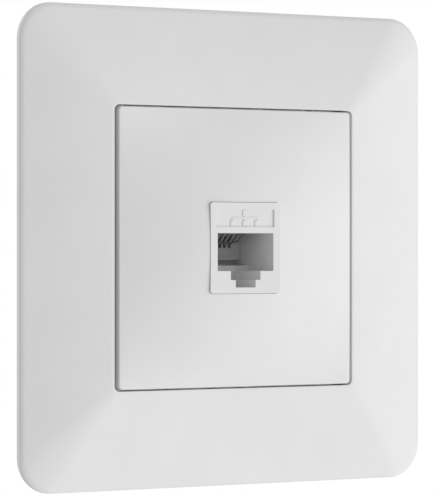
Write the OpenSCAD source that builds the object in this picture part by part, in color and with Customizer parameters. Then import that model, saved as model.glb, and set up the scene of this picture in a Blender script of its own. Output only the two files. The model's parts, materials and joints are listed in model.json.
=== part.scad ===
// Flush wall outlet for one eight-way data jack: surround frame, centre plate, mounting yoke
// and a snap-in jack module. Each piece is described lying on its back, with x to the right,
// y up the wall and z out of the wall, and stand() turns it upright. The wall plane is Y = 0,
// the front faces -Y, and the origin is the middle of the fixing pattern on the wall plane.

/* [Surround frame] */
// Outside width and height of the frame
frame_size = 86; // [84:1:110]
// Radius of the frame's outer corners
frame_corner_r = 6.5; // [4:0.5:10]
// Height of the frame's upright rim above the wall
rim_h = 1.0; // [0.9:0.1:1.6]
// Height of the frame where it meets the centre plate
opening_h = 4.0; // [3.8:0.01:4.2]
// Steepness of the frame's flank where it leaves the rim
flank_slope = 0.231; // [0.2:0.001:0.26]
// Wall thickness of the frame
frame_t = 1.2; // [1:0.1:1.3]
// Width of the foot that rests on the wall
foot_w = 1.6; // [1.6:0.1:3]
// Rounding of the rim's front edge
rim_fillet = 0.3; // [0.1:0.1:0.5]
// Rounding of the opening's front edge
opening_fillet = 0.1; // [0.05:0.05:0.5]

/* [Frame legs] */
// Thickness of each leg that plugs into the yoke
leg_t = 1.2; // [1:0.1:1.3]
// Width of each leg
leg_w = 4; // [3:0.5:6]
// Distance of the legs from the middle, up and down
leg_y = 11; // [9:0.5:16]
// Length of each leg behind the wall plane
leg_depth = 3; // [2:0.5:5]
// Clearance round each leg in its slot
leg_clear = 0.2; // [0.1:0.05:0.4]

/* [Centre plate] */
// Width and height of the centre plate
plate_size = 50; // [49:0.5:60]
// Gap between the centre plate and the frame, above and below
plate_gap = 0.32; // [0.2:0.01:0.5]
// How much wider that gap is left and right
side_gap_extra = 0.4; // [0:0.05:0.5]
// Height of the plate's edge above the wall
plate_edge_h = 4.3; // [4.2:0.05:4.6]
// Rise of the crowned plate from its edge to its middle
plate_crown = 2.95; // [2.5:0.05:3.2]
// Wall thickness of the plate
plate_t = 1.4; // [1.2:0.1:1.5]
// Radius of the plate's corners
plate_corner_r = 0.7; // [0.6:0.1:1.5]
// Rounding of the plate's front edge
plate_fillet = 0.15; // [0.1:0.05:0.5]
// Height of the lower edge of the plate's skirt and of the frame's inner wall
skirt_z = 1.3; // [1.2:0.1:1.8]

/* [Plate pegs] */
// Radius of the pegs that hold the plate
peg_r = 1.5; // [1.2:0.1:1.8]
// Clearance round each peg in its socket
peg_clear = 0.05; // [0.03:0.01:0.1]
// Distance of the pegs in from the edges of the jack carrier
peg_inset = 3.3; // [3:0.1:4]
// Length of the pegs behind the wall plane
peg_depth = 4; // [3:0.5:5]

/* [Mounting yoke] */
// Metal left between a fixing slot and the yoke's edge
yoke_margin = 1.9; // [1.5:0.1:3]
// Thickness of the yoke
yoke_t = 1.0; // [0.8:0.1:1.1]
// Radius of the yoke's corners
yoke_corner_r = 6; // [3:0.5:8]
// Distance between opposite fixing slots
fixing_spacing = 60; // [60:0.5:61]
// Width of a fixing slot
fixing_slot_w = 3.8; // [3.4:0.1:4.5]
// Length of a fixing slot
fixing_slot_l = 6.2; // [5:0.2:7]

/* [Jack carrier] */
// Half width of the carrier's box
carrier_x = 14.3; // [14.1:0.1:14.5]
// Half height of the carrier's box
carrier_y = 20.8; // [20.5:0.1:21]
// Wall thickness of the carrier's box
carrier_t = 1.5; // [1.2:0.1:1.8]
// Depth of the carrier's box behind the wall plane
carrier_depth = 6; // [4:0.5:8]
// Thickness of the carrier's flange in front of the yoke
flange_t = 1.2; // [1:0.1:1.2]
// Reach of the flange past the yoke's window
flange_lap = 1.1; // [0.8:0.1:1.1]
// Clearance between the carrier's box and the yoke's window
window_clear = 0.2; // [0.1:0.05:0.4]
// Clearance between the jack and the sleeve that holds it
jack_clear = 0.12; // [0.08:0.01:0.2]
// Clearance between the jack and the centre plate
aperture_clear = 0.06; // [0.04:0.01:0.15]
// Wall thickness of the sleeve round the jack
sleeve_t = 1.5; // [1.2:0.1:1.8]
// Height of the sleeve's front edge
sleeve_front = 3.8; // [3:0.1:4]

/* [Claws] */
// Gap between the carrier's flange and the ball of each claw screw
claw_gap = 0.4; // [0.3:0.05:0.6]
// Radius of the claw screw's shank
screw_r = 1.5; // [1.25:0.05:1.6]
// Radius of the ball under the screw's head
screw_ball_r = 2.5; // [2.5:0.1:2.6]
// How much smaller the hole is than the ball that sits in it
seat_inset = 0.1; // [0.08:0.01:0.2]
// Length of the screw behind the wall plane
screw_depth = 15; // [13:0.5:20]
// Thickness of the claw's steel
claw_t = 1.2; // [1:0.1:1.5]
// Width of the claw
claw_w = 11; // [9:0.5:14]
// Depth of the claw's points behind the wall plane
claw_depth = 17; // [15:0.5:24]
// Reach of the claw's points past its arm
claw_reach = 2.4; // [1.5:0.1:3]

/* [Jack] */
// Width of the jack's face
jack_w = 14.88; // [14.6:0.01:17.9]
// Height of the jack's face
jack_h = 16.34; // [16.2:0.01:19.7]
// Height of the jack's face above the wall
jack_face = 7.1; // [7:0.05:7.6]
// Depth of the jack housing behind the wall plane
jack_depth = 8; // [8:0.1:9]
// Radius of the jack's corners
jack_corner_r = 0.55; // [0.4:0.05:1.2]

/* [Jack socket] */
// Width of the plug's socket
port_w = 11.96; // [11.9:0.01:12.1]
// Height of the socket without its latch slot
port_h = 6.79; // [6.7:0.01:6.9]
// Distance from the middle of the jack up to the socket's ceiling
port_top = 2.66; // [2.6:0.01:2.8]
// Depth of the socket behind the wall plane
port_depth = 3.8; // [3.5:0.1:4.2]
// Depth behind the wall plane at which the plug's nose stops on a ledge
ledge_depth = 1.5; // [1:0.1:2]
// Height of that ledge above the socket's floor
ledge_h = 0.93; // [0.6:0.01:1]
// Width of the upper step of the latch slot
notch_w = 6.36; // [6.2:0.01:6.5]
// Height of the upper step of the latch slot
notch_h = 1.62; // [1.5:0.01:1.7]
// Width of the lower step of the latch slot
tongue_w = 4.27; // [4.1:0.01:4.4]
// Height of the lower step of the latch slot
tongue_h = 1.34; // [1.2:0.01:1.4]

/* [Contacts] */
// Distance between neighbouring contacts
contact_pitch = 1.02; // [1:0.01:1.04]
// Thickness of a contact
contact_t = 0.3; // [0.25:0.01:0.35]
// Width of a contact
contact_w = 0.46; // [0.4:0.01:0.5]
// Clearance on each side of a contact in its slot
contact_clear = 0.08; // [0.05:0.01:0.1]

/* [Wire block] */
// Thickness of the circuit board
pcb_t = 1.2; // [1:0.1:1.6]
// Half width of the wire block
block_x = 7.2; // [7.1:0.1:7.4]
// Half height of the wire block
block_y = 7.5; // [7.3:0.1:7.6]
// Depth of the wire block's columns behind the wall plane
block_depth = 21; // [20:0.5:24]
// Half of the gap between the two columns, where the cable lies
channel_x = 3.2; // [3:0.1:3.3]
// Distance between neighbouring wire slots
wire_pitch = 3.6; // [3.4:0.1:3.8]
// Width of a wire slot
wire_slot_w = 0.9; // [0.8:0.05:1]
// Width of the square hole that lets the cable through the wire cap
cable_hole_w = 6; // [5:0.2:6]

/* [Hidden] */
contacts = 8;

eps = 0.01;          // small overlap that joins or cuts cleanly
big = 40;            // longer than any piece

// frame
frame_half = frame_size / 2;
plate_half = plate_size / 2;
opening_half = plate_half + plate_gap;
opening_r = plate_corner_r + plate_gap;
flank_w = frame_half - opening_half;
side_shift = side_gap_extra / 2;
frame_arc_steps = 8;
flank_steps = 7;
leg_x = opening_half + side_shift + 0.05;
leg_root_z = skirt_z + 0.6;

// centre plate
aperture_x = jack_w / 2 + aperture_clear;
aperture_y = jack_h / 2 + aperture_clear;
aperture_r = jack_corner_r;
plate_arc_steps = 5;
plate_side_steps = 8;
plate_rows = 7;
skirt_half = plate_half - plate_t;

// carrier
window_x = carrier_x + window_clear;
window_y = carrier_y + window_clear;
peg_x = carrier_x - peg_inset;
peg_y = carrier_y - peg_inset;
flange_top = yoke_t + flange_t;
bore_x = jack_w / 2 + jack_clear;
bore_y = jack_h / 2 + jack_clear;
sleeve_x = bore_x + sleeve_t;
sleeve_y = bore_y + sleeve_t;
sleeve_rear = -3;
boss_r = peg_r + peg_clear + 1.3;
boss_top = 3;
hook_half = 4;
hook_reach = 0.9;
hook_t = 1.2;
hook_gap = 0.05;

// yoke
yoke_half = (fixing_spacing + fixing_slot_l) / 2 + yoke_margin;

// claws
claw_x = window_x + flange_lap + claw_gap + screw_ball_r;
screw_seat_r = screw_ball_r - seat_inset;
ball_gap = 0.03;     // kept between the ball and the rim of its hole
ball_z = yoke_t + sqrt((screw_ball_r + ball_gap) ^ 2 - screw_seat_r ^ 2);
head_cut = 1.1;      // height of the flat head above the ball's middle
driver_slot_w = 0.8;
driver_slot_d = 0.9;
screw_clear = 0.1;
claw_front = -1.2;
claw_arm_x = claw_x + screw_r + 1;
tab_x = claw_x - screw_r - 1;
tab_w = 8;
nut_z = -11;
nut_r = screw_r + 1;
nut_h = 1.2;
tooth_w = 2.4;
tooth_h = 3;
teeth = 3;

// jack housing
jack_half_x = jack_w / 2;
jack_half_y = jack_h / 2;
port_floor = port_top - port_h;
notch_floor = port_floor - notch_h;
tongue_floor = notch_floor - tongue_h;
tongue_rear = 1;
groove_top = -2.3;
ledge_top = port_floor + ledge_h;
groove_depth = 6;
lug_half = 3;
lug_reach = 0.8;
lug_rear = -3.2;
lug_front = -1.7;
lug_clear = 0.15;

// label recess with its generic network sign
label_half = jack_half_x - 1.24;
label_top = jack_half_y - 1.27;
label_floor = port_top + 1.11;
label_depth = 0.25;
sign_h = 0.13;
sign_box = 1.0;
sign_line = 0.28;
sign_step = 2.6;
sign_rise = 0.9;

// latch of the jack
latch_half = 4;
latch_side_clear = 0.2;
latch_t = 0.85;
latch_pivot_z = 4.5;
latch_pivot_y = jack_half_y - 0.595;
latch_end_clear = 0.03;
latch_tail = -7;
latch_hook_front = sleeve_rear - 0.15;
latch_hook_rear = -5.5;
latch_hook_top = bore_y + 0.8;
latch_floor_rear = latch_pivot_y - latch_t / 2 - 1.65;

// contacts, each bent at a knee
pivot_z = 1.8;
pivot_y = 3.3;
knee_z = -0.4;
knee_y = 1.3;
tip_z = -4.4;
tip_y = 0.67;

// contact carrier and its pocket
pocket_half = port_w / 2 + 0.02;
pocket_top = 5;
pocket_front = pivot_z + 1;
fit_clear = 0.05;
comb_front = pivot_z - 0.8;
slot_w = contact_w + 2 * contact_clear;
beam_slot_top = port_top + 0.9;
comb_floor = 0;
comb_depth = 7;
lead_floor = 4.3;

// contact leads
lead_mid = lead_floor + contact_t / 2;
bend_r = (lead_mid - pivot_y) / 2;
bend_gap = 20;       // degrees of the bend left open, so that the contact can turn
lead_rear = -jack_depth - 1;
pin_hole_r = 0.35;

// board, wire block and blades
board_half_x = 7;
board_rear = -jack_depth - pcb_t;
block_base = 1.7;
base_rear = board_rear - block_base;
blade_t = 0.5;
blade_w = 2.4;
blade_x = (channel_x + block_x) / 2;
blade_rear = -block_depth + 1;
blade_seat = board_rear - 0.3;
blade_pin_w = 0.6;
blade_pin_l = 1;
blade_pin_hole_r = 0.45;
blade_slit = 0.35;
blade_slit_l = 6;
blade_vee = 1.4;
wire_slot_l = 7.5;
locator_r = 0.75;
locator_x = 2;
locator_y = -6.4;
locator_front = -jack_depth + 2;

// wire cap
cap_t = 1.6;
cap_gap = 0.2;
cap_lap = 0.55;      // gap from the wire block to the cap's side walls
cap_wall = 1.35;
cap_y = block_y + cap_lap + cap_wall;
cap_front = -block_depth - cap_gap;
cap_side_l = 8;
rib_w = 0.6;
rib_l = 5.4;
rib_half_l = 0.7;
rib_offset = 1.2;

// Turns a piece that lies on its back upright, so that z becomes -Y and y becomes Z.
module stand() rotate([90, 0, 0]) children();

// Extrudes an outline given in [z, y] along x, centred on the middle plane.
module across(w) rotate([0, -90, 0]) linear_extrude(w, center = true) children();

// A block between two corners.
module block(from, to) translate(from) cube(to - from);

// A rounded rectangle by its half sizes.
module rounded(hx, hy, r) hull()
    for (x = [-1, 1], y = [-1, 1]) translate([x * (hx - r), y * (hy - r)]) circle(r, $fn = 32);

function mix(a, b, t) = a + (b - a) * t;

// Points round a rounded rectangle, with the arcs and the sides cut into equal steps.
function rounded_loop(hx, hy, r, arcs, sides) = [
    for (q = [0:3])
        let (start = corner_point(hx, hy, r, q, 90), stop = corner_point(hx, hy, r, q + 1, 0))
        each concat(
            [for (i = [0:arcs]) corner_point(hx, hy, r, q, 90 * i / arcs)],
            sides < 2 ? [] : [for (i = [1:sides - 1]) mix(start, stop, i / sides)])];

// A point on the arc of corner q, where corner 0 is right and up and the others go round leftward.
function corner_point(hx, hy, r, q, angle) =
    let (c = q % 4, x = (c == 0 || c == 3) ? 1 : -1, y = c < 2 ? 1 : -1)
    [x * (hx - r), y * (hy - r)] + r * [cos(90 * c + angle), sin(90 * c + angle)];

// A closed ring whose skin runs through a list of loops and back to the first one.
module loop_shell(loops) {
    n = len(loops[0]);
    m = len(loops);
    polyhedron(
        points = [for (loop = loops) each loop],
        faces = [for (i = [0:m - 1], j = [0:n - 1])
            let (a = i * n, b = ((i + 1) % m) * n, k = (j + 1) % n)
            each [[a + j, b + j, b + k], [a + j, b + k, a + k]]],
        convexity = 6);
}

// Height of the frame's flank at a distance in from its outer edge.
function flank_z(u) = rim_h + flank_slope * u
    + (opening_h - rim_h - flank_slope * flank_w) * (u / flank_w) ^ 2;

// Corner radius of the frame at that distance.
function flank_r(u) = mix(frame_corner_r, opening_r, u / flank_w);

// One level loop of the frame at that distance and a height.
function frame_loop(u, z) = [for (p = rounded_loop(frame_half - u + side_shift * u / flank_w,
    frame_half - u, flank_r(u), frame_arc_steps, 1)) [p.x, p.y, z]];

module surround_frame() {
    inner_u = flank_w - frame_t;
    outer = concat(
        [[0, 0]],
        [for (a = [0:30:60]) [rim_fillet * (1 - cos(a)), rim_h - rim_fillet * (1 - sin(a))]],
        [for (i = [0:flank_steps]) let (u = mix(rim_fillet, flank_w - opening_fillet, i / flank_steps))
            [u, flank_z(u)]],
        [for (a = [30:30:90]) [flank_w - opening_fillet * (1 - sin(a)),
            flank_z(flank_w - opening_fillet) - opening_fillet * (1 - cos(a))]],
        [[flank_w, skirt_z]]);
    inner = concat(
        [[inner_u, skirt_z]],
        [for (i = [flank_steps:-1:0]) let (u = mix(foot_w, inner_u, i / flank_steps))
            [u, flank_z(u) - frame_t]],
        [[foot_w, 0]]);
    color("whitesmoke") stand() union() {
        loop_shell([for (p = concat(outer, inner)) frame_loop(p[0], p[1])]);
        for (x = [-1, 1], y = [-1, 1])
            translate([x * (leg_x + leg_t / 2), y * leg_y, (leg_root_z - leg_depth) / 2])
                cube([leg_t, leg_w, leg_root_z + leg_depth], center = true);
    }
}

// Height of the crowned plate over a point.
function crown_z(p) = plate_edge_h
    + plate_crown * (1 - (p.x / plate_half) ^ 2) * (1 - (p.y / plate_half) ^ 2);

// A loop of the plate, from the aperture at t = 0 to an outline of a given half size at t = 1.
function plate_loop(t, outline) = rounded_loop(mix(aperture_x, outline - side_shift, t),
    mix(aperture_y, outline, t), mix(aperture_r, plate_corner_r, t),
    plate_arc_steps, plate_side_steps);

// A loop of the plate's rounded edge, an angle of 90 being the side wall and 0 the crowned face.
function plate_edge_loop(angle) =
    let (top_half = plate_half - plate_fillet, inner = plate_loop(1, top_half),
        outer = plate_loop(1, top_half + plate_fillet * sin(angle)))
    [for (i = [0:len(inner) - 1])
        [outer[i].x, outer[i].y, crown_z(inner[i]) - plate_fillet * (1 - cos(angle))]];

module centre_plate() {
    top_half = plate_half - plate_fillet;
    peg_top = crown_z([peg_x + peg_r, peg_y + peg_r]) - plate_t / 2;
    color("whitesmoke") stand() union() {
        loop_shell(concat(
            [[for (p = plate_loop(1, plate_half)) [p.x, p.y, skirt_z]]],
            [for (a = [90:-30:30]) plate_edge_loop(a)],
            [for (i = [plate_rows:-1:0]) [for (p = plate_loop(i / plate_rows, top_half))
                [p.x, p.y, crown_z(p)]]],
            [for (i = [0:plate_rows]) [for (p = plate_loop(i / plate_rows, skirt_half))
                [p.x, p.y, crown_z(p) - plate_t]]],
            [[for (p = plate_loop(1, skirt_half)) [p.x, p.y, skirt_z]]]));
        for (x = [-1, 1], y = [-1, 1]) translate([x * peg_x, y * peg_y, -peg_depth])
            cylinder(r = peg_r, h = peg_top + peg_depth, $fn = 48);
    }
}

// A fixing slot that runs outward from the middle, on the right.
module fixing_slot() {
    run = (fixing_slot_l - fixing_slot_w) / 2;
    for (x = [-run, run]) translate([fixing_spacing / 2 + x, 0, -eps])
        cylinder(d = fixing_slot_w, h = yoke_t + 2 * eps, $fn = 48);
    translate([fixing_spacing / 2, 0, yoke_t / 2])
        cube([2 * run, fixing_slot_w, yoke_t + 2 * eps], center = true);
}

module mounting_yoke() color("silver") stand() difference() {
    linear_extrude(yoke_t) rounded(yoke_half, yoke_half, yoke_corner_r);
    block([-window_x, -window_y, -eps], [window_x, window_y, yoke_t + eps]);
    for (a = [0:90:270]) rotate([0, 0, a]) fixing_slot();
    for (x = [-1, 1]) translate([x * claw_x, 0, -eps])
        cylinder(r = screw_seat_r, h = yoke_t + 2 * eps, $fn = 64);
    for (x = [-1, 1], y = [-1, 1])
        translate([x * (leg_x + leg_t / 2), y * leg_y, yoke_t / 2])
            cube([leg_t + 2 * leg_clear, leg_w + 2 * leg_clear, yoke_t + 2 * eps], center = true);
}

module keystone_carrier() color("gainsboro") stand() difference() {
    union() {
        block([-window_x - flange_lap, -window_y - flange_lap, yoke_t],
            [window_x + flange_lap, window_y + flange_lap, flange_top]);
        difference() {
            block([-carrier_x, -carrier_y, -carrier_depth], [carrier_x, carrier_y, yoke_t]);
            block([carrier_t - carrier_x, carrier_t - carrier_y, -carrier_depth - eps],
                [carrier_x - carrier_t, carrier_y - carrier_t, yoke_t - eps]);
        }
        block([-sleeve_x, -sleeve_y, sleeve_rear], [sleeve_x, sleeve_y, sleeve_front]);
        for (x = [-1, 1], y = [-1, 1]) translate([x * peg_x, y * peg_y, -peg_depth - 1.5])
            cylinder(r = boss_r, h = boss_top + peg_depth + 1.5, $fn = 48);
        for (y = [-1, 1]) translate([0, y * (carrier_y + hook_reach / 2), -hook_gap - hook_t / 2])
            cube([2 * hook_half, hook_reach + 2 * eps, hook_t], center = true);
    }
    block([-bore_x, -bore_y, sleeve_rear - eps], [bore_x, bore_y, sleeve_front + eps]);
    block([-lug_half - lug_clear, -jack_half_y - lug_reach - lug_clear, sleeve_rear - eps],
        [lug_half + lug_clear, 0, lug_front + lug_clear]);
    for (x = [-1, 1], y = [-1, 1]) translate([x * peg_x, y * peg_y, -peg_depth - 0.2])
        cylinder(r = peg_r + peg_clear, h = big, $fn = 48);
}

// A spreading claw, drawn on the right: side is 1 there, and -1 mirrors it to the left.
module claw(side) color("darkgray") stand() mirror([side < 0 ? 1 : 0, 0, 0]) difference() {
    union() {
        block([claw_arm_x, -claw_w / 2, -claw_depth], [claw_arm_x + claw_t, claw_w / 2, claw_front]);
        for (z = [claw_front - claw_t, nut_z - claw_t])
            block([tab_x, -tab_w / 2, z], [claw_arm_x + eps, tab_w / 2, z + claw_t]);
        translate([claw_x, 0, nut_z - claw_t - nut_h]) cylinder(r = nut_r, h = nut_h + eps, $fn = 48);
        for (i = [0:teeth - 1])
            translate([claw_arm_x + claw_t - eps, mix(-1, 1, i / (teeth - 1)) * (claw_w - tooth_w) / 2, 0])
                rotate([90, 0, 0]) linear_extrude(tooth_w, center = true)
                    polygon([[0, -claw_depth], [claw_reach, -claw_depth], [0, tooth_h - claw_depth]]);
    }
    translate([claw_x, 0, -big]) cylinder(r = screw_r + screw_clear, h = big, $fn = 48);
}

// A claw screw with a ball under its slotted head.
module claw_screw(side) color("silver") stand() translate([side * claw_x, 0, 0]) difference() {
    union() {
        translate([0, 0, -screw_depth]) cylinder(r = screw_r, h = screw_depth + ball_z, $fn = 48);
        translate([0, 0, ball_z]) sphere(screw_ball_r, $fn = 64);
    }
    block([-big, -big, ball_z + head_cut], [big, big, ball_z + big]);
    block([-big, -driver_slot_w / 2, ball_z + head_cut - driver_slot_d],
        [big, driver_slot_w / 2, ball_z + big]);
}

// A generic network sign: one box above three, joined by lines.
module network_sign(z, h) {
    mid = (label_top + label_floor) / 2;
    for (p = [[0, sign_rise], [-sign_step, -sign_rise], [0, -sign_rise], [sign_step, -sign_rise]])
        block([p.x - sign_box / 2, mid + p.y - sign_box / 2, z],
            [p.x + sign_box / 2, mid + p.y + sign_box / 2, z + h]);
    for (x = [-sign_step, 0, sign_step])
        block([x - sign_line / 2, mid - sign_rise, z], [x + sign_line / 2, mid, z + h]);
    block([-sign_line / 2, mid - eps, z], [sign_line / 2, mid + sign_rise, z + h]);
    block([-sign_step - sign_line / 2, mid - sign_line / 2, z],
        [sign_step + sign_line / 2, mid + sign_line / 2, z + h]);
}

module jack_housing() color("white") stand() {
    difference() {
        union() {
            translate([0, 0, -jack_depth]) linear_extrude(jack_face + jack_depth)
                rounded(jack_half_x, jack_half_y, jack_corner_r);
            block([-lug_half, -jack_half_y - lug_reach, lug_rear], [lug_half, 0, lug_front]);
        }
        // the plug's socket with its ledge, and the two steps of its latch slot
        block([-port_w / 2, port_floor, -ledge_depth], [port_w / 2, port_top, big]);
        block([-port_w / 2, ledge_top, -port_depth], [port_w / 2, port_top, big]);
        block([-notch_w / 2, notch_floor, -ledge_depth], [notch_w / 2, port_top, big]);
        block([-tongue_w / 2, tongue_floor, tongue_rear], [tongue_w / 2, port_top, big]);
        // groove at the foot of the back wall
        block([-port_w / 2, ledge_top, -groove_depth], [port_w / 2, port_top, 0]);
        // pocket of the contact carrier
        block([-pocket_half, groove_top, -big], [pocket_half, pocket_top, -port_depth]);
        block([-pocket_half, 0, -big], [pocket_half, pocket_top, pocket_front]);
        // recess of the latch, with a sloping floor and a round end at the hinge
        across(2 * (latch_half + latch_side_clear)) polygon([
            [latch_pivot_z, big], [-jack_depth - eps, big], [-jack_depth - eps, latch_floor_rear],
            [latch_pivot_z, latch_pivot_y - latch_t / 2 - latch_end_clear]]);
        translate([0, latch_pivot_y, latch_pivot_z]) rotate([0, 90, 0])
            cylinder(r = latch_t / 2 + latch_end_clear, h = 2 * (latch_half + latch_side_clear),
                center = true, $fn = 48);
        block([-latch_half - latch_side_clear, latch_pivot_y, latch_pivot_z - latch_t],
            [latch_half + latch_side_clear, big, latch_pivot_z + latch_t / 2 + latch_end_clear]);
        // label recess
        block([-label_half, label_floor, jack_face - label_depth], [label_half, label_top, big]);
        // sockets of the wire block's locating pegs
        for (x = [-1, 1]) translate([x * locator_x, locator_y, -big])
            cylinder(r = locator_r + fit_clear, h = big + locator_front + fit_clear, $fn = 48);
    }
    network_sign(jack_face - label_depth - eps, sign_h + eps);
}

module keystone_latch() color("white") stand() {
    low = latch_pivot_y - latch_t / 2;
    high = latch_pivot_y + latch_t / 2;
    across(2 * latch_half) polygon([
        [latch_pivot_z, low], [latch_pivot_z, high], [latch_hook_front, high],
        [latch_hook_front, latch_hook_top], [latch_hook_rear + 0.6, latch_hook_top],
        [latch_hook_rear, high], [latch_tail, high], [latch_tail, low]]);
    translate([0, latch_pivot_y, latch_pivot_z]) rotate([0, 90, 0])
        cylinder(r = latch_t / 2, h = 2 * latch_half, center = true, $fn = 48);
}

// Middle of contact i, counted from 1 on the left.
function contact_x(i) = (i - (contacts + 1) / 2) * contact_pitch;

module contact_carrier() color("ivory") stand() difference() {
    union() {
        block([fit_clear - pocket_half, port_top, -jack_depth],
            [pocket_half - fit_clear, pocket_top - fit_clear, comb_front]);
        block([fit_clear - pocket_half, groove_top + fit_clear, -jack_depth],
            [pocket_half - fit_clear, port_top + eps, -port_depth - fit_clear]);
    }
    for (i = [1:contacts]) translate([contact_x(i), 0, 0]) {
        block([-slot_w / 2, port_top - eps, -comb_depth], [slot_w / 2, beam_slot_top, big]);
        block([-slot_w / 2, comb_floor, -comb_depth], [slot_w / 2, port_top + eps, big]);
        block([-slot_w / 2, lead_floor, -big], [slot_w / 2, big, big]);
    }
}

module contact_leads() color("gold") stand() for (i = [1:contacts]) translate([contact_x(i), 0, 0]) {
    block([-contact_w / 2, lead_floor, lead_rear], [contact_w / 2, lead_floor + contact_t, pivot_z]);
    translate([0, lead_mid - bend_r, pivot_z]) rotate([0, -90, 0]) rotate([0, 0, bend_gap - 90])
        rotate_extrude(angle = 180 - bend_gap, $fn = 48)
            translate([bend_r, 0]) square([contact_t, contact_w], center = true);
}

// A straight length of a contact between two points given as [z, y], with round ends.
module contact_limb(from, to) {
    run = to - from;
    translate([0, from.y, from.x]) rotate([-atan2(run.y, run.x), 0, 0])
        block([-contact_w / 2, -contact_t / 2, 0], [contact_w / 2, contact_t / 2, norm(run)]);
    for (p = [from, to]) translate([0, p.y, p.x]) rotate([0, 90, 0])
        cylinder(d = contact_t, h = contact_w, center = true, $fn = 32);
}

// A sprung contact that runs back and down from its bend to its knee, and on into its comb slot.
module contact_beam(i) color("gold") stand() translate([contact_x(i), 0, 0]) {
    contact_limb([pivot_z, pivot_y], [knee_z, knee_y]);
    contact_limb([knee_z, knee_y], [tip_z, tip_y]);
}

// Middle of blade i: 1 to 4 go up the left column and 5 to 8 up the right one.
function blade_at(i) = [i > 4 ? blade_x : -blade_x, ((i - 1) % 4 - 1.5) * wire_pitch];

module contact_pcb() color("seagreen") stand() difference() {
    block([-board_half_x, -block_y, board_rear], [board_half_x, block_y, -jack_depth]);
    for (i = [1:contacts]) {
        translate([contact_x(i), lead_mid, -big]) cylinder(r = pin_hole_r, h = big, $fn = 24);
        translate([blade_at(i).x, blade_at(i).y, -big]) cylinder(r = blade_pin_hole_r, h = big, $fn = 24);
    }
    for (x = [-1, 1]) translate([x * locator_x, locator_y, -big])
        cylinder(r = locator_r + fit_clear, h = big, $fn = 48);
}

module idc_block() color("lightgray") stand() {
    difference() {
        union() {
            block([-block_x, -block_y, base_rear], [block_x, block_y, board_rear]);
            for (x = [-1, 1]) translate([x * blade_x, 0, (base_rear - block_depth) / 2])
                cube([block_x - channel_x, 2 * block_y, block_depth + base_rear + 2 * eps], center = true);
        }
        for (i = [1:contacts]) translate([blade_at(i).x, blade_at(i).y, 0]) {
            block([-blade_t / 2 - fit_clear, -blade_w / 2 - fit_clear, -big],
                [blade_t / 2 + fit_clear, blade_w / 2 + fit_clear, blade_seat]);
            block([-block_x, -wire_slot_w / 2, -big], [block_x, wire_slot_w / 2, wire_slot_l - block_depth]);
            translate([0, 0, -big]) cylinder(r = blade_pin_hole_r, h = big, $fn = 24);
        }
    }
    for (x = [-1, 1]) translate([x * locator_x, locator_y, base_rear + eps])
        cylinder(r = locator_r, h = locator_front - base_rear - eps, $fn = 48);
}

// A forked blade that cuts through a wire's insulation.
module idc_blade(i) color("goldenrod") stand() translate([blade_at(i).x, blade_at(i).y, 0]) {
    across(blade_t) polygon([
        [blade_seat, -blade_w / 2], [blade_seat, blade_w / 2],
        [blade_rear, blade_w / 2], [blade_rear + blade_vee, blade_slit / 2],
        [blade_rear + blade_slit_l, blade_slit / 2], [blade_rear + blade_slit_l, -blade_slit / 2],
        [blade_rear + blade_vee, -blade_slit / 2], [blade_rear, -blade_w / 2]]);
    block([-blade_t / 2, -blade_pin_w / 2, blade_seat - eps],
        [blade_t / 2, blade_pin_w / 2, blade_seat + blade_pin_l]);
}

module wire_cap() color("lightgray") stand() difference() {
    union() {
        block([-block_x, -cap_y, cap_front - cap_t], [block_x, cap_y, cap_front]);
        for (y = [-1, 1]) translate([0, y * (cap_y - cap_wall / 2), cap_front + cap_side_l / 2 - eps])
            cube([2 * block_x, cap_wall, cap_side_l], center = true);
        for (i = [1:contacts], x = [-1, 1])
            translate([blade_at(i).x + x * rib_offset, blade_at(i).y, cap_front + rib_l / 2 - eps])
                cube([2 * rib_half_l, rib_w, rib_l], center = true);
    }
    block([-cable_hole_w / 2, -cable_hole_w / 2, -big], [cable_hole_w / 2, cable_hole_w / 2, 0]);
}

surround_frame();
centre_plate();
mounting_yoke();
keystone_carrier();
claw(-1);  // claw_left
claw(1);  // claw_right
claw_screw(-1);  // claw_screw_left
claw_screw(1);  // claw_screw_right
jack_housing();
keystone_latch();
contact_carrier();
contact_leads();
contact_pcb();
idc_block();
wire_cap();
for (i = [1:contacts]) contact_beam(i);
for (i = [1:contacts]) idc_blade(i);
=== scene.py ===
"""Looks of a flush wall outlet for one data jack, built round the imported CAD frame.

Pieces are described lying on their backs, as the CAD source does it: x to the right, y up the wall
and z out of the wall. upright() turns such a point into the row frame, where the front faces -Y.
"""

import json
import math

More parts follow.
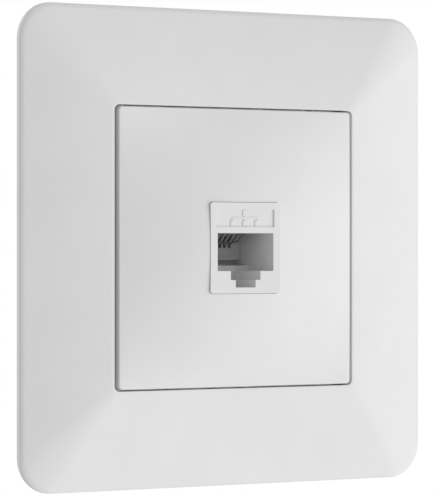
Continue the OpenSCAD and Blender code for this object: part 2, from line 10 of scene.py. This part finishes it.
import bpy
import numpy as np
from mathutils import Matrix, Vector


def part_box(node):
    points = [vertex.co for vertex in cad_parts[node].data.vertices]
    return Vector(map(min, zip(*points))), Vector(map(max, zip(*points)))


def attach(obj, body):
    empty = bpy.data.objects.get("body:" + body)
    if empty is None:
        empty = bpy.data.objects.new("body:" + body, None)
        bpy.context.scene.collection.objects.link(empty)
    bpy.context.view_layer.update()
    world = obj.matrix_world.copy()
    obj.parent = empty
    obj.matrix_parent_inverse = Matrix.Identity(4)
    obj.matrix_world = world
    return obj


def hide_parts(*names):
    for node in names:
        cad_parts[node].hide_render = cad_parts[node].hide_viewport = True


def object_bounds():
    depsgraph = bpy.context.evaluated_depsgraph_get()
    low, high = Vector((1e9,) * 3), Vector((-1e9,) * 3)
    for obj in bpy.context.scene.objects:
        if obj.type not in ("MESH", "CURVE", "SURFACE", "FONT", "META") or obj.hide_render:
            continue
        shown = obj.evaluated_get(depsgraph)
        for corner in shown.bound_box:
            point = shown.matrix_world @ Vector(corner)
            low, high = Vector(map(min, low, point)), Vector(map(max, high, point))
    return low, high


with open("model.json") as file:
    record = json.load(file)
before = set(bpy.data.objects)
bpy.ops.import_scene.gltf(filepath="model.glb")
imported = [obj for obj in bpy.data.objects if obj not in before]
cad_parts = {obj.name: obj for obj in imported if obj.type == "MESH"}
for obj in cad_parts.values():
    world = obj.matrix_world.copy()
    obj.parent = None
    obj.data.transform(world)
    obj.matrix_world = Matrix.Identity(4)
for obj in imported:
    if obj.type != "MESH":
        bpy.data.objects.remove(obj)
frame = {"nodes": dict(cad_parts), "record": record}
CAD_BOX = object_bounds()
MM = 0.001

# ---------------------------------------------------------------------------- camera

CAMERA_AZIMUTH = math.radians(-32.86)
CAMERA_DISTANCE = 0.5647
CAMERA_LENS = 226.25
CAMERA_SHIFT = (-0.01374, 0.001)


def make_camera():
    data = bpy.data.cameras.new("camera")
    camera = bpy.data.objects.new("camera", data)
    bpy.context.scene.collection.objects.link(camera)
    back = Vector((math.sin(CAMERA_AZIMUTH), -math.cos(CAMERA_AZIMUTH), 0))
    camera.location = back * CAMERA_DISTANCE
    camera.rotation_mode = "QUATERNION"
    camera.rotation_quaternion = (-back).to_track_quat("-Z", "Y")
    data.lens = CAMERA_LENS
    data.sensor_width = 36
    data.shift_x, data.shift_y = CAMERA_SHIFT
    data.clip_start, data.clip_end = 0.01, 20
    bpy.context.scene.camera = camera


# ---------------------------------------------------------------------------- meshes


def upright(points):
    """Points given as (x right, y up, z out of the wall) in the row frame."""
    p = np.asarray(points, float)
    return np.stack([p[..., 0], -p[..., 2], p[..., 1]], -1)


def corner_point(hx, hy, r, quarter, angle):
    """A point on the arc of a corner: quarter 0 is right and up, and the others go round leftward."""
    c = quarter % 4
    x = 1 if c in (0, 3) else -1
    y = 1 if c < 2 else -1
    a = math.radians(90 * c + angle)
    return np.array([x * (hx - r) + r * math.cos(a), y * (hy - r) + r * math.sin(a)])


def rounded_loop(hx, hy, r, arcs, sides):
    """Points round a rounded rectangle. sides holds the shares at which each straight side is cut."""
    points = []
    for quarter in range(4):
        points += [corner_point(hx, hy, r, quarter, 90 * i / arcs) for i in range(arcs + 1)]
        start, stop = points[-1], corner_point(hx, hy, r, quarter + 1, 0)
        points += [start + (stop - start) * share for share in sides]
    return np.array(points)


def level(loop, z):
    """A flat loop at a height, or at a height for each of its points."""
    heights = np.full(len(loop), z) if np.isscalar(z) else z
    return np.column_stack([loop, heights])


def new_object(name, points, faces, sharp=40):
    mesh = bpy.data.meshes.new(name)
    mesh.from_pydata([tuple(p) for p in upright(points)], [], faces)
    mesh.validate()
    mesh.polygons.foreach_set("use_smooth", [True] * len(mesh.polygons))
    mesh.set_sharp_from_angle(angle=math.radians(sharp))
    made = bpy.data.objects.new(name, mesh)
    bpy.context.scene.collection.objects.link(made)
    return made


def ring_of(name, loops):
    """A closed ring whose skin runs through the loops and back to the first one."""
    n, m = len(loops[0]), len(loops)
    faces = [
        (i * n + j, i * n + (j + 1) % n, (i + 1) % m * n + (j + 1) % n, (i + 1) % m * n + j)
        for i in range(m)
        for j in range(n)
    ]
    return new_object(name, np.concatenate(loops), faces)


def stack_of(name, loops):
    """A closed solid whose skin runs through the loops, with both ends filled."""
    n, m = len(loops[0]), len(loops)
    faces = [
        (i * n + j, i * n + (j + 1) % n, (i + 1) * n + (j + 1) % n, (i + 1) * n + j)
        for i in range(m - 1)
        for j in range(n)
    ]
    faces += [tuple(range(n - 1, -1, -1)), tuple(range((m - 1) * n, m * n))]
    return new_object(name, np.concatenate(loops), faces)


def joined(body, tools, operation="UNION"):
    """The body with the tools added to it or cut from it, as one mesh."""
    for tool in tools:
        step = body.modifiers.new("join", "BOOLEAN")
        step.operation, step.solver, step.object = operation, "EXACT", tool
    bpy.context.view_layer.update()
    whole = bpy.data.meshes.new_from_object(body.evaluated_get(bpy.context.evaluated_depsgraph_get()))
    body.modifiers.clear()
    body.data = whole
    for tool in tools:
        bpy.data.objects.remove(tool)
    whole.polygons.foreach_set("use_smooth", [True] * len(whole.polygons))
    whole.set_sharp_from_angle(angle=math.radians(40))
    return body


def arc(start, stop, steps):
    """Angles in radians from start to stop, given in degrees, both ends counted."""
    return np.radians(np.linspace(start, stop, steps + 1))


# ---------------------------------------------------------------------------- materials


class Nodes:
    """A node tree with a short way to add and link its nodes."""

    def __init__(self, name):
        self.material = bpy.data.materials.new(name)
        self.material.use_nodes = True
        self.tree = self.material.node_tree
        self.tree.nodes.clear()
        self.shader = self.add("ShaderNodeBsdfPrincipled")
        out = self.add("ShaderNodeOutputMaterial")
        self.link(self.shader.outputs[0], out.inputs["Surface"])
        self.place = self.add("ShaderNodeTexCoord").outputs["Object"]

    def add(self, kind, **settings):
        node = self.tree.nodes.new(kind)
        for key, value in settings.items():
            setattr(node, key, value)
        return node

    def link(self, source, target):
        self.tree.links.new(source, target)

    def noise(self, size, detail=2.0, roughness=0.5, stretch=(1, 1, 1)):
        """Noise whose features are about size metres across."""
        mapping = self.add("ShaderNodeMapping")
        mapping.inputs["Scale"].default_value = stretch
        self.link(self.place, mapping.inputs["Vector"])
        noise = self.add("ShaderNodeTexNoise")
        noise.inputs["Scale"].default_value = 1 / size
        noise.inputs["Detail"].default_value = detail
        noise.inputs["Roughness"].default_value = roughness
        self.link(mapping.outputs[0], noise.inputs["Vector"])
        return noise.outputs[0]

    def spread(self, value, low, high, start=0.3, stop=0.7):
        """A value mapped to run from low to high."""
        node = self.add("ShaderNodeMapRange")
        for key, number in zip(("From Min", "From Max", "To Min", "To Max"), (start, stop, low, high)):
            node.inputs[key].default_value = number
        self.link(value, node.inputs["Value"])
        return node.outputs[0]

    def colours(self, value, *stops):
        """Colours at places along a value, as (place, colour) pairs."""
        ramp = self.add("ShaderNodeValToRGB")
        elements = ramp.color_ramp.elements
        while len(elements) < len(stops):
            elements.new(0.5)
        for element, (position, colour) in zip(elements, stops):
            element.position = position
            element.color = (*colour, 1)
        self.link(value, ramp.inputs[0])
        return ramp.outputs[0]

    def bump(self, *layers):
        """Bumps on each other, as (value, depth in metres) pairs."""
        normal = None
        for value, depth in layers:
            node = self.add("ShaderNodeBump")
            node.inputs["Distance"].default_value = depth
            node.inputs["Strength"].default_value = 1.0
            self.link(value, node.inputs["Height"])
            if normal:
                self.link(normal, node.inputs["Normal"])
            normal = node.outputs[0]
        self.link(normal, self.shader.inputs["Normal"])


def tinted(colour, factor):
    return tuple(min(1.0, c * factor) for c in colour)


def plastic(name, colour, rough=0.42, grain=0.25 * MM, depth=0.004 * MM):
    """Moulded plastic: a fine spark-eroded grain, a faint flow mottling and uneven gloss."""
    m = Nodes(name)
    flow = m.noise(9 * MM, detail=3)
    tone = m.colours(flow, (0.3, tinted(colour, 0.985)), (0.7, tinted(colour, 1.01)))
    m.link(tone, m.shader.inputs["Base Color"])
    m.link(m.spread(m.noise(3 * MM), rough - 0.03, rough + 0.03), m.shader.inputs["Roughness"])
    m.shader.inputs["IOR"].default_value = 1.5
    m.bump((m.noise(grain, detail=1), depth), (m.noise(6 * MM, detail=1), 4 * depth))
    return m.material


def zinc(name, colour=(0.62, 0.63, 0.64), rough=0.34):
    """Zinc-plated sheet: crystal patches, rolling lines and handling scuffs."""
    m = Nodes(name)
    patches = m.add("ShaderNodeTexVoronoi")
    patches.inputs["Scale"].default_value = 1 / (1.6 * MM)
    m.link(m.place, patches.inputs["Vector"])
    lines = m.noise(0.5 * MM, detail=2, stretch=(0.06, 1, 1))
    tone = m.add("ShaderNodeMixRGB", blend_type="MIX")
    tone.inputs[0].default_value = 0.35
    m.link(m.colours(lines, (0.3, tinted(colour, 0.86)), (0.75, tinted(colour, 1.08))), tone.inputs[1])
    crystals = m.colours(patches.outputs["Color"], (0.2, tinted(colour, 0.8)), (0.8, tinted(colour, 1.1)))
    m.link(crystals, tone.inputs[2])
    m.link(tone.outputs[0], m.shader.inputs["Base Color"])
    m.shader.inputs["Metallic"].default_value = 1.0
    m.link(m.spread(m.noise(2.2 * MM, detail=4), rough - 0.08, rough + 0.14), m.shader.inputs["Roughness"])
    m.bump((lines, 0.004 * MM), (m.noise(1.5 * MM, detail=3), 0.01 * MM))
    return m.material


def plated(name, colour, rough=0.22):
    """A bright plated spring metal with drawing lines along the wire."""
    m = Nodes(name)
    lines = m.noise(0.12 * MM, detail=2, stretch=(1, 0.08, 1))
    tone = m.colours(lines, (0.3, tinted(colour, 0.88)), (0.7, tinted(colour, 1.05)))
    m.link(tone, m.shader.inputs["Base Color"])
    m.shader.inputs["Metallic"].default_value = 1.0
    m.link(m.spread(m.noise(0.8 * MM, detail=3), rough - 0.05, rough + 0.1), m.shader.inputs["Roughness"])
    m.bump((lines, 0.002 * MM))
    return m.material


def board(name):
    """Green solder mask over a woven glass core."""
    m = Nodes(name)
    weave = m.add("ShaderNodeTexBrick")
    weave.inputs["Scale"].default_value = 1 / (1.2 * MM)
    weave.inputs["Mortar Size"].default_value = 0.02
    m.link(m.place, weave.inputs["Vector"])
    cloud = m.noise(2.5 * MM, detail=3)
    mask = m.colours(cloud, (0.3, (0.02, 0.13, 0.06)), (0.7, (0.04, 0.19, 0.09)))
    m.link(mask, m.shader.inputs["Base Color"])
    m.link(m.spread(cloud, 0.25, 0.4), m.shader.inputs["Roughness"])
    m.bump((weave.outputs["Fac"], 0.006 * MM))
    return m.material


WHITE = (0.80, 0.80, 0.805)


def make_materials():
    return {
        "frame_plastic": plastic("frame_plastic", WHITE),
        "plate_plastic": plastic("plate_plastic", WHITE),
        "jack_plastic": plastic("jack_plastic", tinted(WHITE, 0.99), rough=0.4, grain=0.2 * MM),
        "carrier_plastic": plastic("carrier_plastic", (0.7, 0.7, 0.7), rough=0.5),
        "contact_carrier_plastic": plastic("contact_carrier_plastic", (0.55, 0.55, 0.55), rough=0.55),
        "wire_block_plastic": plastic("wire_block_plastic", (0.5, 0.5, 0.51), rough=0.5),
        "wire_cap_plastic": plastic("wire_cap_plastic", (0.66, 0.66, 0.66), rough=0.48),
        "yoke_steel": zinc("yoke_steel"),
        "claw_steel": zinc("claw_steel", (0.56, 0.57, 0.58), 0.38),
        "screw_steel": zinc("screw_steel", (0.62, 0.62, 0.62), 0.28),
        "contact_gold": plated("contact_gold", (0.6, 0.58, 0.54)),
        "blade_metal": plated("blade_metal", (0.72, 0.58, 0.4), 0.3),
        "circuit_board": board("circuit_board"),
    }


def paint(obj, slot_name, materials):
    """Gives a piece the one material that was made for a slot of the record."""
    obj.data.materials.clear()
    obj.data.materials.append(materials[slot_name])


# ---------------------------------------------------------------------------- surround frame

FRAME_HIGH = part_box("surround_frame")[1]
PLATE_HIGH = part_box("centre_plate")[1]
FRAME_HALF = FRAME_HIGH.x
FRAME_CORNER_R = 6.5 * MM
RIM_H = 1.0 * MM
OPENING_H = 4.0 * MM
FLANK_SLOPE = 0.231
FRAME_T = 1.2 * MM
FOOT_W = 1.6 * MM
RIM_FILLET = 0.3 * MM
OPENING_FILLET = 0.1 * MM
SKIRT_Z = 1.3 * MM
# half of the plate's height; its width is smaller by SIDE_SHIFT on each side
PLATE_HALF = PLATE_HIGH.z
PLATE_GAP = 0.32 * MM
SIDE_SHIFT = 0.2 * MM
PLATE_CORNER_R = 0.7 * MM
OPENING_HALF = PLATE_HALF + PLATE_GAP
FLANK_W = FRAME_HALF - OPENING_HALF
LEG_T = 1.2 * MM
LEG_W = 4 * MM
LEG_Y = 11 * MM
LEG_INSET = 0.05 * MM
LEG_ROOT_Z = SKIRT_Z + 0.6 * MM
LEG_DEPTH = FRAME_HIGH.y
LEG_CORNER_R = 0.15 * MM
LEG_CHAMFER = 0.4 * MM
CORNER_STEPS = 20
FLANK_LOOPS = 26
FLANK_LOOPS_INSIDE = 12
SIDE_SHARES = (0.004, 0.02, 0.08, 0.3, 0.5, 0.7, 0.92, 0.98, 0.996)


def flank_z(u):
    """Height of the flank at a distance in from the outer edge."""
    end = OPENING_H - RIM_H - FLANK_SLOPE * FLANK_W
    return RIM_H + FLANK_SLOPE * u + end * (u / FLANK_W) ** 2


def frame_loop(u, z):
    radius = FRAME_CORNER_R + (PLATE_CORNER_R + PLATE_GAP - FRAME_CORNER_R) * u / FLANK_W
    half_x = FRAME_HALF - u + SIDE_SHIFT * u / FLANK_W
    return level(rounded_loop(half_x, FRAME_HALF - u, radius, CORNER_STEPS, SIDE_SHARES), z)


def chamfered_bar(name, centre, size, low, high, chamfer):
    """An upright bar with a chamfered lower end, from one height to another."""
    loops = []
    for z, inset in ((low, chamfer), (low + chamfer, 0), (high, 0)):
        loop = rounded_loop(size[0] / 2 - inset, size[1] / 2 - inset, LEG_CORNER_R, 4, ())
        loops.append(level(loop + np.array(centre), z))
    return stack_of(name, loops)


def make_surround_frame(materials):
    inner_u = FLANK_W - FRAME_T
    fillet_u = FLANK_W - OPENING_FILLET
    loops = [frame_loop(0, 0)]
    loops += [
        frame_loop(RIM_FILLET * (1 - math.cos(a)), RIM_H - RIM_FILLET * (1 - math.sin(a)))
        for a in arc(0, 75, 5)
    ]
    loops += [frame_loop(u, flank_z(u)) for u in np.linspace(RIM_FILLET, fillet_u, FLANK_LOOPS)]
    for a in arc(12, 90, 6):
        drop = OPENING_FILLET * (1 - math.cos(a))
        loops.append(frame_loop(fillet_u + OPENING_FILLET * math.sin(a), flank_z(fillet_u) - drop))
    loops += [frame_loop(FLANK_W, SKIRT_Z), frame_loop(inner_u, SKIRT_Z)]
    loops += [
        frame_loop(u, flank_z(u) - FRAME_T) for u in np.linspace(inner_u, FOOT_W, FLANK_LOOPS_INSIDE)
    ]
    loops.append(frame_loop(FOOT_W, 0))
    skin = ring_of("surround_frame_skin", loops)
    leg_x = OPENING_HALF + SIDE_SHIFT + LEG_INSET + LEG_T / 2
    legs = [
        chamfered_bar("leg", (x * leg_x, y * LEG_Y), (LEG_T, LEG_W), -LEG_DEPTH, LEG_ROOT_Z, LEG_CHAMFER)
        for x in (-1, 1)
        for y in (-1, 1)
    ]
    joined(skin, legs)
    paint(skin, "frame_plastic", materials)
    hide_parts("surround_frame")
    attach(skin, "frame")


# ---------------------------------------------------------------------------- centre plate

JACK_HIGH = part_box("jack_housing")[1]
APERTURE_CLEAR = 0.06 * MM
APERTURE_X = JACK_HIGH.x + APERTURE_CLEAR
APERTURE_Y = JACK_HIGH.z + APERTURE_CLEAR
JACK_CORNER_R = 0.55 * MM
PLATE_EDGE_H = 4.3 * MM
PLATE_CROWN = 2.95 * MM
PLATE_T = 1.4 * MM
PLATE_FILLET = 0.15 * MM
PEG_R = 1.5 * MM
PEG_AT = (11 * MM, 17.5 * MM)
PEG_DEPTH = PLATE_HIGH.y
PEG_CHAMFER = 0.5 * MM
PLATE_CORNER_STEPS = 8
PLATE_ROWS = 24
PLATE_ROWS_INSIDE = 10
PLATE_SHARES = tuple(np.linspace(0, 1, 25)[1:-1])


def crown_z(x, y):
    return PLATE_EDGE_H + PLATE_CROWN * (1 - (x / PLATE_HALF) ** 2) * (1 - (y / PLATE_HALF) ** 2)


def plate_loop(share, outline):
    """A loop between the aperture at share 0 and an outline of a given half size at share 1."""
    half_x = APERTURE_X + (outline - SIDE_SHIFT - APERTURE_X) * share
    half_y = APERTURE_Y + (outline - APERTURE_Y) * share
    radius = JACK_CORNER_R + (PLATE_CORNER_R - JACK_CORNER_R) * share
    return rounded_loop(half_x, half_y, radius, PLATE_CORNER_STEPS, PLATE_SHARES)


def crowned(share, outline, drop):
    """A loop that lies on the crowned face, or at a drop below it."""
    loop = plate_loop(share, outline)
    return level(loop, crown_z(loop[:, 0], loop[:, 1]) - drop)


def peg_at(x, y):
    """A round peg with a chamfered end, whose root ends within the plate."""
    top = crown_z(PEG_AT[0] + PEG_R, PEG_AT[1] + PEG_R) - PLATE_T / 2
    loops = []
    for z, inset in ((-PEG_DEPTH, PEG_CHAMFER), (PEG_CHAMFER - PEG_DEPTH, 0), (top, 0)):
        r = PEG_R - inset
        # the radius stays a hair below the half size, so that no two points of the loop coincide
        loops.append(level(rounded_loop(r, r, r - 1e-6, 10, ()) + np.array((x, y)), z))
    return stack_of("peg", loops)


def make_centre_plate(materials):
    top_half = PLATE_HALF - PLATE_FILLET
    skirt_half = PLATE_HALF - PLATE_T
    brink = plate_loop(1, top_half)
    brink_h = crown_z(brink[:, 0], brink[:, 1])
    loops = [level(plate_loop(1, PLATE_HALF), SKIRT_Z)]
    for a in arc(90, 18, 4):
        drop = PLATE_FILLET * (1 - math.cos(a))
        loops.append(level(plate_loop(1, top_half + PLATE_FILLET * math.sin(a)), brink_h - drop))
    loops += [crowned(share, top_half, 0) for share in np.linspace(1, 0, PLATE_ROWS)]
    loops += [crowned(share, skirt_half, PLATE_T) for share in np.linspace(0, 1, PLATE_ROWS_INSIDE)]
    loops.append(level(plate_loop(1, skirt_half), SKIRT_Z))
    skin = ring_of("centre_plate_skin", loops)
    joined(skin, [peg_at(x * PEG_AT[0], y * PEG_AT[1]) for x in (-1, 1) for y in (-1, 1)])
    paint(skin, "plate_plastic", materials)
    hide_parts("centre_plate")
    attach(skin, "plate")


# ---------------------------------------------------------------------------- CAD nodes that stay

# edge rounding in millimetres for each kind of node that keeps its CAD mesh
EDGES = {
    "jack_housing": 0.08,
    "keystone_latch": 0.1,
    "keystone_carrier": 0.2,
    "contact_carrier": 0.05,
    "contact_leads": 0.05,
    "contact_pcb": 0.06,
    "idc_block": 0.1,
    "wire_cap": 0.18,
    "mounting_yoke": 0.12,
    "claw": 0.15,
    "claw_screw": 0.12,
    "contact": 0.05,
    "idc_blade": 0.04,
}


def edge_of(node):
    kinds = [kind for kind in EDGES if node.startswith(kind)]
    return EDGES[max(kinds, key=len)] * MM


def soften(node, obj):
    """Merges the CAD triangles into whole faces and rounds the edges a little."""
    obj.data.polygons.foreach_set("use_smooth", [True] * len(obj.data.polygons))
    weld = obj.modifiers.new("weld", "WELD")
    weld.merge_threshold = 1e-6
    flat = obj.modifiers.new("flat", "DECIMATE")
    flat.decimate_type = "DISSOLVE"
    flat.angle_limit = math.radians(0.5)
    bevel = obj.modifiers.new("edges", "BEVEL")
    bevel.width = edge_of(node)
    bevel.segments = 2
    bevel.limit_method = "ANGLE"
    bevel.angle_limit = math.radians(35)
    bevel.use_clamp_overlap = True
    normals = obj.modifiers.new("normals", "WEIGHTED_NORMAL")
    normals.keep_sharp = True


def finish_cad_nodes(materials):
    slots = {row["node"]: row["material_slot"] for row in frame["record"]["subparts"]}
    for node, obj in frame["nodes"].items():
        if obj.hide_render:
            continue
        soften(node, obj)
        paint(obj, slots[node], materials)


# ---------------------------------------------------------------------------- floor and light

FLOOR_DROP = 0.2
FLOOR_RADIUS = 1.1
FLOOR_STEPS = 96


def make_floor():
    z = CAD_BOX[0].z - FLOOR_DROP
    turns = [2 * math.pi * i / FLOOR_STEPS for i in range(FLOOR_STEPS)]
    ring = [(FLOOR_RADIUS * math.cos(a), FLOOR_RADIUS * math.sin(a), z) for a in turns]
    mesh = bpy.data.meshes.new("floor")
    mesh.from_pydata(ring, [], [tuple(range(FLOOR_STEPS))])
    floor = bpy.data.objects.new("floor", mesh)
    bpy.context.scene.collection.objects.link(floor)
    mesh.materials.append(plastic("floor_paint", (0.86, 0.86, 0.86), rough=0.7, grain=3 * MM))
    floor.visible_shadow = False


def sun(name, towards, strength, softness):
    """A distant soft light that comes from a direction."""
    data = bpy.data.lights.new(name, "SUN")
    data.energy = strength
    data.angle = math.radians(softness)
    light = bpy.data.objects.new(name, data)
    light.rotation_mode = "QUATERNION"
    light.rotation_quaternion = Vector(towards).to_track_quat("Z", "Y")
    bpy.context.scene.collection.objects.link(light)


def make_light():
    sun("key", (0.8, -0.6, 0), 0.9, 50)
    sun("fill", (0.7, -0.5, -0.5), 1.0, 50)
    sun("rear", (-0.5, 0.8, 0.4), 0.8, 60)
    world = bpy.data.worlds.new("studio")
    bpy.context.scene.world = world
    world.use_nodes = True
    tree = world.node_tree
    tree.nodes.clear()
    out = tree.nodes.new("ShaderNodeOutputWorld")
    mix = tree.nodes.new("ShaderNodeMixShader")
    seen = tree.nodes.new("ShaderNodeLightPath")
    ambient = tree.nodes.new("ShaderNodeBackground")
    backdrop = tree.nodes.new("ShaderNodeBackground")
    ambient.inputs[0].default_value = (1, 1, 1, 1)
    ambient.inputs[1].default_value = 0.54
    backdrop.inputs[0].default_value = (1, 1, 1, 1)
    backdrop.inputs[1].default_value = 1.0
    tree.links.new(seen.outputs["Is Camera Ray"], mix.inputs[0])
    tree.links.new(ambient.outputs[0], mix.inputs[1])
    tree.links.new(backdrop.outputs[0], mix.inputs[2])
    tree.links.new(mix.outputs[0], out.inputs["Surface"])
    bpy.context.scene.view_settings.view_transform = "Standard"


# ---------------------------------------------------------------------------- the whole scene

make_camera()
MATERIALS = make_materials()
make_surround_frame(MATERIALS)
make_centre_plate(MATERIALS)
finish_cad_nodes(MATERIALS)
make_floor()
make_light()
